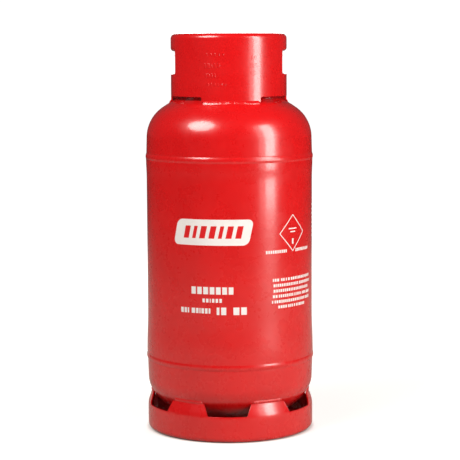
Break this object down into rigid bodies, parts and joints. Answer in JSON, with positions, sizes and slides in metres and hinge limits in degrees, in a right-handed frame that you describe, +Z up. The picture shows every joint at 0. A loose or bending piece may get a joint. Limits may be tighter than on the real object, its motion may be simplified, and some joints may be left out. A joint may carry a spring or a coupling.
{
  "type": "propane tank",
  "caption": "Upright welded steel propane cylinder with a valve shroud, a notched foot ring and a hand-wheel valve whose outlet faces the rear window.",
  "frame": {"origin": "centre of the base, on the floor under the vessel's axis", "axes": "+Z up along the vessel's axis, -Y the front, +Y the side that the valve outlet and the shroud's window face"},
  "size_m": [0.3232, 0.3232, 0.76],
  "materials": {
    "red_enamel": "gloss enamel over welded steel",
    "brass": "machined and forged",
    "handwheel_plastic": "moulded",
    "dust_cap_plastic": "moulded",
    "seal_rubber": "matt",
    "ptfe": "smooth",
    "plated_steel": "zinc plated"
  },
  "bodies": {
    "vessel": {"barrel": "red_enamel", "upper_end": "red_enamel", "lower_end": "red_enamel", "upper_girth_weld": "red_enamel", "lower_girth_weld": "red_enamel", "barrel_seam_weld": "red_enamel", "foot_ring": "red_enamel", "foot_ring_welds": "red_enamel", "foot_ring_seam_weld": "red_enamel", "valve_shroud": "red_enamel", "shroud_foot_welds": "red_enamel", "shroud_seam_weld": "red_enamel", "valve_boss": "red_enamel", "boss_weld": "red_enamel", "valve_body": "brass", "bonnet": "brass", "spindle_washer": "ptfe", "spindle_seals": "seal_rubber", "relief_cap": "brass", "relief_spring": "plated_steel", "relief_dust_cap": "dust_cap_plastic"},
    "handwheel": {"upper_spindle": "brass", "handwheel": "handwheel_plastic", "handwheel_washer": "plated_steel", "handwheel_nut": "plated_steel"},
    "lower_spindle": {"lower_spindle": "brass", "seat_pad": "ptfe"},
    "relief_poppet": {"relief_poppet": "brass", "relief_disc": "seal_rubber"}
  },
  "joints": [
    {"name": "handwheel_turn", "type": "hinge", "parent": "vessel", "child": "handwheel", "pos_m": [0, 0, 0.736], "axis": [0, 0, 1], "range_deg": [0, 900]},
    {"name": "lower_spindle_lift", "type": "slide", "parent": "handwheel", "child": "lower_spindle", "axis": [0, 0, 1], "range_m": [0, 0.00438]},
    {"name": "relief_lift", "type": "slide", "parent": "vessel", "child": "relief_poppet", "axis": [0, -1, 0], "range_m": [0, 0.0025], "stiffness_N_per_m": 500, "springref_m": -0.005, "deforming": ["relief_spring"]}
  ],
  "couplings": [
    {"joint": "handwheel_turn", "follows": "lower_spindle_lift", "rad_per_m": 3590.4}
  ]
}
